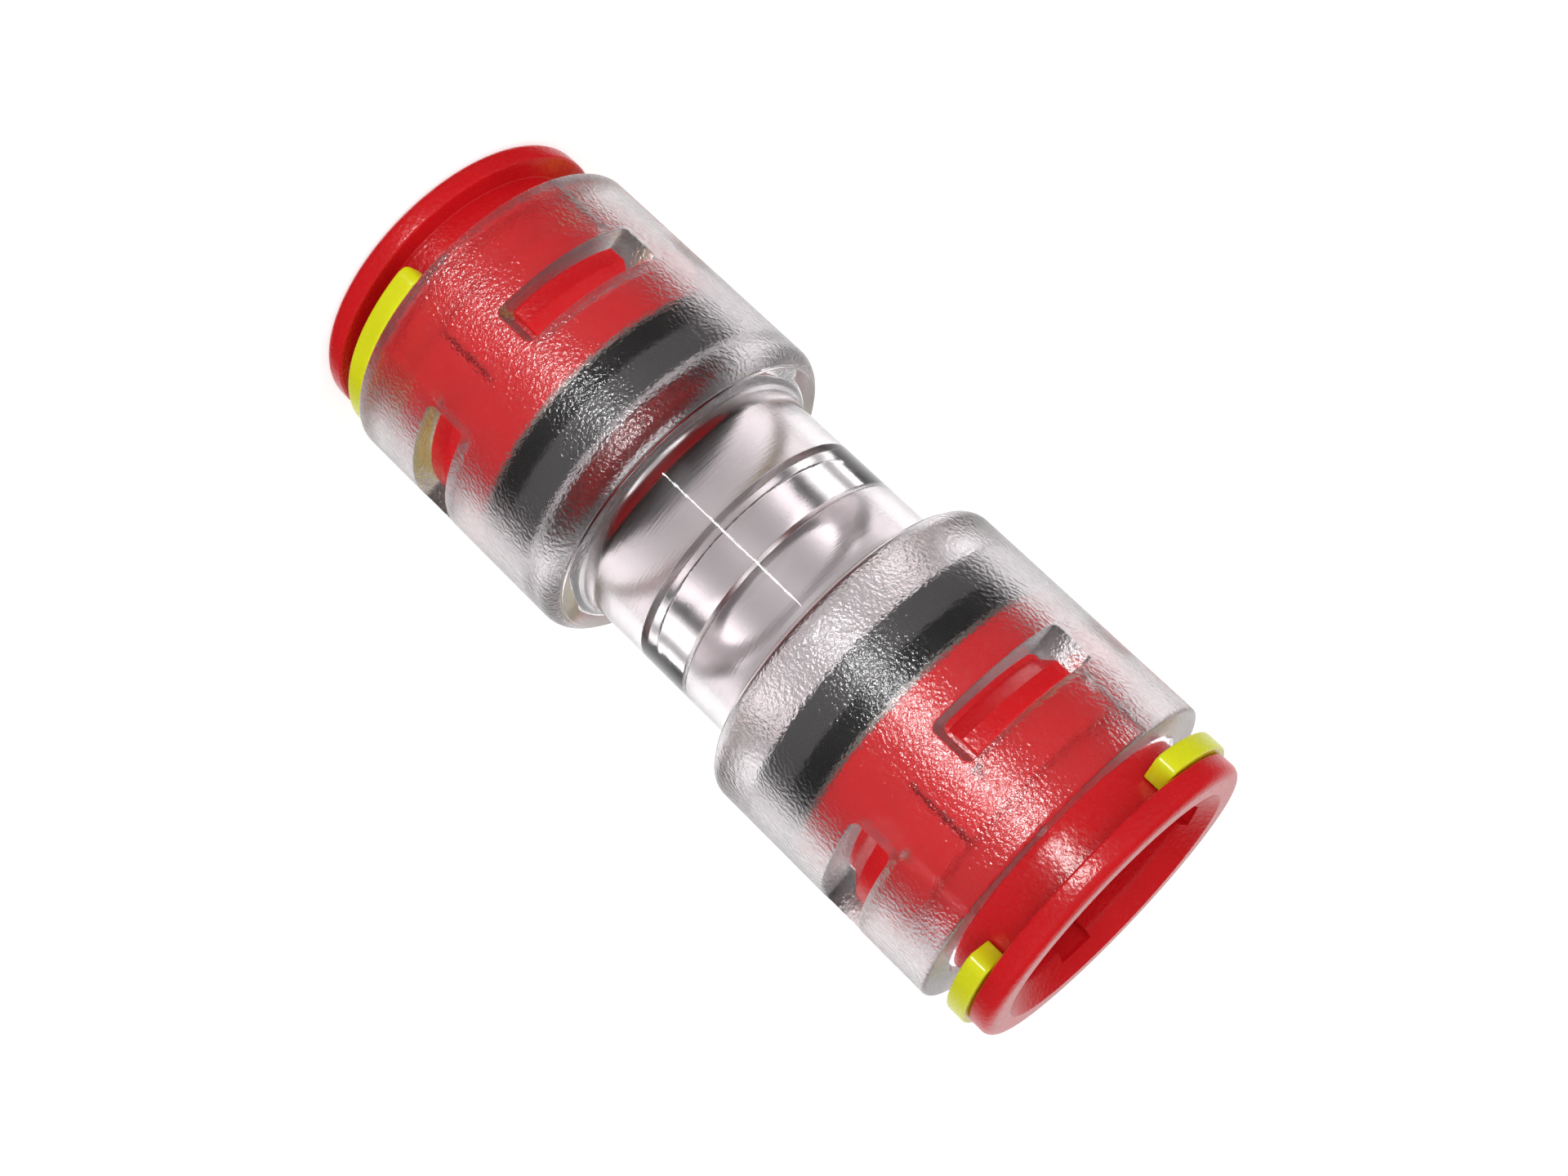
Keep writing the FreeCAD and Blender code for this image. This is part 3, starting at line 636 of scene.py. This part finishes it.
def build_cartridge(end, sizes, colours):
    """Red cartridge: a slit tube whose lugs are raised from its outer skin.

    A lug's height is a ramp, a flat and a square end along the axis, times a flat with steep rounded
    ends round the axis.
    """
    bore, skin = sizes.cartridge_bore, sizes.cartridge_radius
    start, stop = sizes.cartridge_start, sizes.cartridge_end
    slit_start, bead_room, bead_room_start = 16.53, 7.85, 17.93
    corners = [
        (bore, start, 0.05), (skin, start, 0.08), (skin, stop, 0.15), (bead_room, stop, 0.1),
        (bead_room, bead_room_start, 0.05), (bore, bead_room_start, 0.05),
    ]
    outline = rounded(corners, 4)
    # Rows up the ramp and close together at the square end
    lug_rows = np.array([16.1, 16.3, 16.6, 16.9, 17.15, 17.25, 17.35, 17.6, 17.9, 18.2, 18.33, 18.4, 18.44,
                         18.449, 18.451])
    split = nearest(outline, skin, start + 0.08) + 1
    lug_points = np.stack([np.full(len(lug_rows), skin), lug_rows], 1)
    outline = spread(np.concatenate([outline[:split], lug_points, outline[split:]]), 0.6)
    slit = math.asin(sizes.slit_width / 2 / 8.2)
    lug, lug_round = math.radians(23), 0.012
    # Columns from slit to slit, close together at the lug's ends
    fine = np.array([-0.012, -0.008, -0.004, 0.0, 0.0005])
    base = np.sort(np.concatenate([
        np.linspace(-QUARTER / 2 + slit, -lug - 0.02, 10), -lug - fine,
        np.linspace(-lug + 0.03, lug - 0.03, 25),
        lug + fine, np.linspace(lug + 0.02, QUARTER / 2 - slit, 10),
    ]))
    columns = np.concatenate([base + k * QUARTER for k in range(4)])
    in_slit = np.tile(np.arange(len(base)) == len(base) - 1, 4)

    def lugged(angle, height, radius):
        """Raise the lugs. The heights come turned over, as a slotted tube is cut from below."""
        place = -height
        ramp = np.clip((place - sizes.lug_start) / 1.15, 0, 1)
        face = sizes.lug_height - 0.15 + 0.15 * quarter_round(sizes.lug_end - place, 0.12)
        ends = quarter_round(lug - np.abs(from_window(angle)), lug_round)
        on_lug = (place <= sizes.lug_end) & (radius > skin - 0.01)
        return radius + np.where(on_lug, ramp * face * ends, 0)

    shell = Shell()
    slotted_tube(shell, outline * (1, -1), columns, in_slit, -slit_start, lugged)
    shell.points = [points * (1, 1, -1) for points in shell.points]
    red = finish("red_moulding", colours)
    piece = shell.build(f"red_cartridge_{end}", end, "connector", "red_plastic", [red], 40)
    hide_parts(f"cartridge_{end}")
    return piece


def build_clip(end, sizes, colours):
    """Yellow open ring: a rounded rectangle carried round to the opening, with its ends rounded off.

    Near an end, at a distance g from it, the outer side draws in by reach (1 - quarter_round(g, reach)),
    and all sides by the same law with the edge's round.
    """
    bottom, half_opening, middle = CLIPS[end]
    inner, outer, width = sizes.clip_bore, sizes.clip_radius, sizes.clip_width
    top, reach, end_round = bottom + width, 0.7, 0.15
    near = np.array([0, 0.02, 0.05, 0.1, 0.16, 0.24, 0.34, 0.46, 0.58, 0.7, 0.8])
    sweep = math.pi - half_opening
    side = -sweep + near / outer
    angle = np.concatenate([side, np.linspace(side[-1], -side[-1], 120)[1:-1], -side[::-1]])
    gap = (sweep - np.abs(angle)) * outer
    cut = reach * (1 - quarter_round(gap, reach))
    edge = end_round * (1 - quarter_round(gap, end_round))
    corners = [(inner, bottom, 0.12), (outer, bottom, 0.15), (outer, top, 0.15), (inner, top, 0.12)]
    section = spread(rounded(corners, 5), 0.3)
    share = ((section[:, 0] - inner) / (outer - inner))[:, None]
    lift = (section[:, 1] - bottom - width / 2)[:, None]
    radius = inner + edge + share * (outer - inner - cut - 2 * edge)
    height = bottom + width / 2 + lift * (1 - edge / (width / 2))
    turn = angle[None] + middle + math.pi
    if end == "a":
        turn = math.pi - turn
    shell = Shell()
    points = turned(radius, height, turn)
    shell.add_grid(points, 0, closed_rows=True)
    ring = np.arange(len(section))
    shell.add(points[:, 0], [ring])
    shell.add(points[:, -1], [ring])
    yellow = finish("yellow_moulding", colours)
    piece = shell.build(f"yellow_clip_{end}", end, f"clip_{end}", "yellow_plastic", [yellow], 40)
    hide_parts(f"locking_clip_{end}")
    return piece


def build_both(build, scene):
    """Build a piece of each end."""
    for end in ENDS:
        build(end, scene.connector_sizes, scene.connector_colours)


# Operators

class MESH_OT_clear_body(bpy.types.Operator):
    """Build the clear body"""

    bl_idname = "mesh.connector_clear_body"
    bl_label = "Clear body"

    def execute(self, context):
        build_body(context.scene.connector_sizes, context.scene.connector_colours)
        return {"FINISHED"}


class MESH_OT_cartridges(bpy.types.Operator):
    """Build the red cartridge of each end"""

    bl_idname = "mesh.connector_cartridges"
    bl_label = "Cartridges"

    def execute(self, context):
        build_both(build_cartridge, context.scene)
        return {"FINISHED"}


class MESH_OT_sleeves(bpy.types.Operator):
    """Build the red release sleeve of each end"""

    bl_idname = "mesh.connector_sleeves"
    bl_label = "Release sleeves"

    def execute(self, context):
        build_both(build_sleeve, context.scene)
        return {"FINISHED"}


class MESH_OT_clips(bpy.types.Operator):
    """Build the yellow locking clip of each end"""

    bl_idname = "mesh.connector_clips"
    bl_label = "Locking clips"

    def execute(self, context):
        build_both(build_clip, context.scene)
        return {"FINISHED"}


class MATERIAL_OT_inner_rings(bpy.types.Operator):
    """Give the seals, support rings and grip rings their rubber, plastic and steel"""

    bl_idname = "material.connector_inner_rings"
    bl_label = "Inner rings"

    def execute(self, context):
        rings = {"seal_ring": "black_rubber", "support_ring": "black_nylon", "grip_ring": "spring_steel"}
        for name, material in rings.items():
            for end in ENDS:
                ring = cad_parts[f"{name}_{end}"]
                ring.data.materials.clear()
                ring.data.materials.append(finish(material, context.scene.connector_colours))
        return {"FINISHED"}


class SCENE_OT_connector_stage(bpy.types.Operator):
    """Set up the white floor, the light and the camera"""

    bl_idname = "scene.connector_stage"
    bl_label = "Stage"

    def execute(self, context):
        make_floor()
        make_world(context.scene)
        make_lamps()
        make_camera(context.scene)
        context.scene.view_settings.view_transform = "Standard"
        return {"FINISHED"}


# Stage

AWAY = (-0.454, 0.891, 0)  # level direction from the camera to the connector

STRIP_PLACE = (0.2724, -0.5346)  # metres: the lamps stand 0.6 m off on the camera's side
STRIP_WIDTH = 0.009
# Of each lamp: its middle's height and its own height in metres, and its power in watts
STRIPS = {
    "strip_lamp_head": (-0.0125, 0.075, 0.8),
    "strip_lamp": (-0.09, 0.08, 1.45),
    "strip_lamp_foot": (-0.19, 0.12, 0.127),
}


def surroundings(tree, direction, path):
    """Brightness of the room in a direction, for light that is scattered, mirrored or refracted.

    It follows the direction's level part, from -1 on the camera's side to 1 behind the connector.
    Scattered light falls mostly from the camera's side and less from above, and counts more once it has
    passed the clear wall. Mirrored rays meet a room that is dark on the camera's side and white behind.
    Refracted ones meet it dark on the camera's side and bright behind, with a dimmer middle.
    """
    flat = node(tree, "ShaderNodeVectorMath", {"operation": "MULTIPLY", 1: (1, 1, 0)}, direction)
    unit = node(tree, "ShaderNodeVectorMath", {"operation": "NORMALIZE"}, flat.outputs[0])
    across = node(tree, "ShaderNodeVectorMath", {"operation": "DOT_PRODUCT", 1: AWAY}, unit.outputs[0])
    across = across.outputs["Value"]
    up = node(tree, "ShaderNodeSeparateXYZ", None, direction).outputs["Z"]

    def rise(value, start, stop, low, high):
        """Smooth step from a low level to a high one over a span of a value."""
        settings = {"interpolation_type": "SMOOTHSTEP", "From Min": start, "From Max": stop,
                    "To Min": low, "To Max": high}
        return node(tree, "ShaderNodeMapRange", settings, value).outputs["Result"]

    def joined(operation, first, second):
        """Two levels joined by an operation of the Math node."""
        return node(tree, "ShaderNodeMath", {"operation": operation}, first, second).outputs[0]

    def blended(first, second, share):
        """Mix two levels."""
        return node(tree, "ShaderNodeMix", {"data_type": "FLOAT"}, Factor=share, A=first, B=second).outputs[0]

    fill = joined("MULTIPLY", rise(across, -1.0, 1.0, 1.7, 0.6), rise(up, 0.0, 0.9, 1.0, 0.48))
    fill = joined("MULTIPLY", fill, rise(path["Transparent Depth"], 0.0, 1.0, 1.0, 1.35))
    mirrored = rise(across, 0.5, 0.98, 0.02, 1.0)
    refracted = joined("SUBTRACT", rise(across, 0.45, 0.75, 0.06, 1.8), rise(across, 0.95, 0.99, 0.0, 1.3))
    return blended(blended(fill, mirrored, path["Is Glossy Ray"]), refracted, path["Is Transmission Ray"])


def make_floor():
    """A white floor under the standing connector, with a glow to the camera that takes it to white.

    Mirrored and refracted rays pass it and meet the room, as if the connector were held up in the light.
    """
    reach, glow_level = 3, 0.62
    mesh = bpy.data.meshes.new("floor")
    corners = [(-reach, -reach, 0), (reach, -reach, 0), (reach, reach, 0), (-reach, reach, 0)]
    mesh.from_pydata(corners, [], [(0, 1, 2, 3)])
    floor = bpy.data.objects.new("floor", mesh)
    bpy.context.scene.collection.objects.link(floor)
    floor.visible_glossy = floor.visible_transmission = floor.visible_shadow = False
    material, tree = new_material("white_paper")
    seen = node(tree, "ShaderNodeLightPath").outputs["Is Camera Ray"]
    glow = node(tree, "ShaderNodeMath", {"operation": "MULTIPLY", 1: glow_level}, seen)
    settings = {"Base Color": (0.8, 0.8, 0.8, 1), "Roughness": 0.8, "Emission Color": (1, 1, 1, 1)}
    paper = node(tree, "ShaderNodeBsdfPrincipled", settings, Emission_Strength=glow.outputs[0])
    node(tree, "ShaderNodeOutputMaterial", Surface=paper.outputs["BSDF"])
    mesh.materials.append(material)


def make_world(scene):
    """White to the camera, and the room to every other ray."""
    world = bpy.data.worlds.new("studio")
    scene.world = world
    world.use_nodes = True
    tree = world.node_tree
    tree.nodes.clear()
    path = node(tree, "ShaderNodeLightPath").outputs
    direction = node(tree, "ShaderNodeTexCoord").outputs["Generated"]
    room = surroundings(tree, direction, path)
    seen = node(tree, "ShaderNodeMix", {"data_type": "FLOAT", "B": 1.0}, Factor=path["Is Camera Ray"], A=room)
    background = node(tree, "ShaderNodeBackground", {"Color": (1, 1, 1, 1)}, Strength=seen.outputs[0])
    node(tree, "ShaderNodeOutputWorld", Surface=background.outputs["Background"])


def make_lamps():
    """Tall narrow lamps in line, below the camera, which only shine in reflections: the foot is dim."""
    for name, (middle, tall, power) in STRIPS.items():
        data = bpy.data.lights.new(name, "AREA")
        data.shape = "RECTANGLE"
        data.size, data.size_y = STRIP_WIDTH, tall
        data.energy = power
        strip = bpy.data.objects.new(name, data)
        bpy.context.scene.collection.objects.link(strip)
        strip.location = (*STRIP_PLACE, middle)
        strip.rotation_mode = "QUATERNION"
        strip.rotation_quaternion = Vector((-STRIP_PLACE[0], -STRIP_PLACE[1], 0)).to_track_quat("-Z", "Y")
        strip.visible_camera = strip.visible_diffuse = strip.visible_transmission = False


def make_camera(scene):
    """The camera at the photograph's place, with its lens and its frame's shift."""
    data = bpy.data.cameras.new("camera")
    data.sensor_width = 36
    data.lens = 60.36
    data.shift_x, data.shift_y = -0.01995, -0.05323
    data.clip_start, data.clip_end = 0.005, 20
    camera = bpy.data.objects.new("camera", data)
    scene.collection.objects.link(camera)
    camera.location = (0.06558, -0.12870, 0.07430)
    camera.rotation_euler = [math.radians(v) for v in (-64.4427, -43.8973, -169.4608)]
    scene.camera = camera


class VIEW3D_PT_connector(bpy.types.Panel):
    """Buttons that build the connector"""

    bl_label = "Tube connector"
    bl_space_type = "VIEW_3D"
    bl_region_type = "UI"
    bl_category = "Tube connector"

    def draw(self, context):
        for operator in OPERATORS:
            self.layout.operator(operator.bl_idname)
        for group in (context.scene.connector_sizes, context.scene.connector_colours):
            for name in group.bl_rna.properties.keys():
                if name not in ("rna_type", "name"):
                    self.layout.prop(group, name)


OPERATORS = (
    MESH_OT_clear_body,
    MESH_OT_cartridges,
    MESH_OT_sleeves,
    MESH_OT_clips,
    MATERIAL_OT_inner_rings,
    SCENE_OT_connector_stage,
)
CLASSES = (ConnectorSizes, ConnectorColours, *OPERATORS, VIEW3D_PT_connector)


def register():
    """Register the classes and the scene's settings."""
    for cls in CLASSES:
        bpy.utils.register_class(cls)
    bpy.types.Scene.connector_sizes = bpy.props.PointerProperty(type=ConnectorSizes)
    bpy.types.Scene.connector_colours = bpy.props.PointerProperty(type=ConnectorColours)


def unregister():
    """Undo register."""
    del bpy.types.Scene.connector_sizes
    del bpy.types.Scene.connector_colours
    for cls in reversed(CLASSES):
        bpy.utils.unregister_class(cls)


def main():
    """Build every piece and the stage."""
    register()
    bpy.ops.mesh.connector_clear_body()
    bpy.ops.mesh.connector_cartridges()
    bpy.ops.mesh.connector_sleeves()
    bpy.ops.mesh.connector_clips()
    bpy.ops.material.connector_inner_rings()
    bpy.ops.scene.connector_stage()


if __name__ == "__main__":
    main()
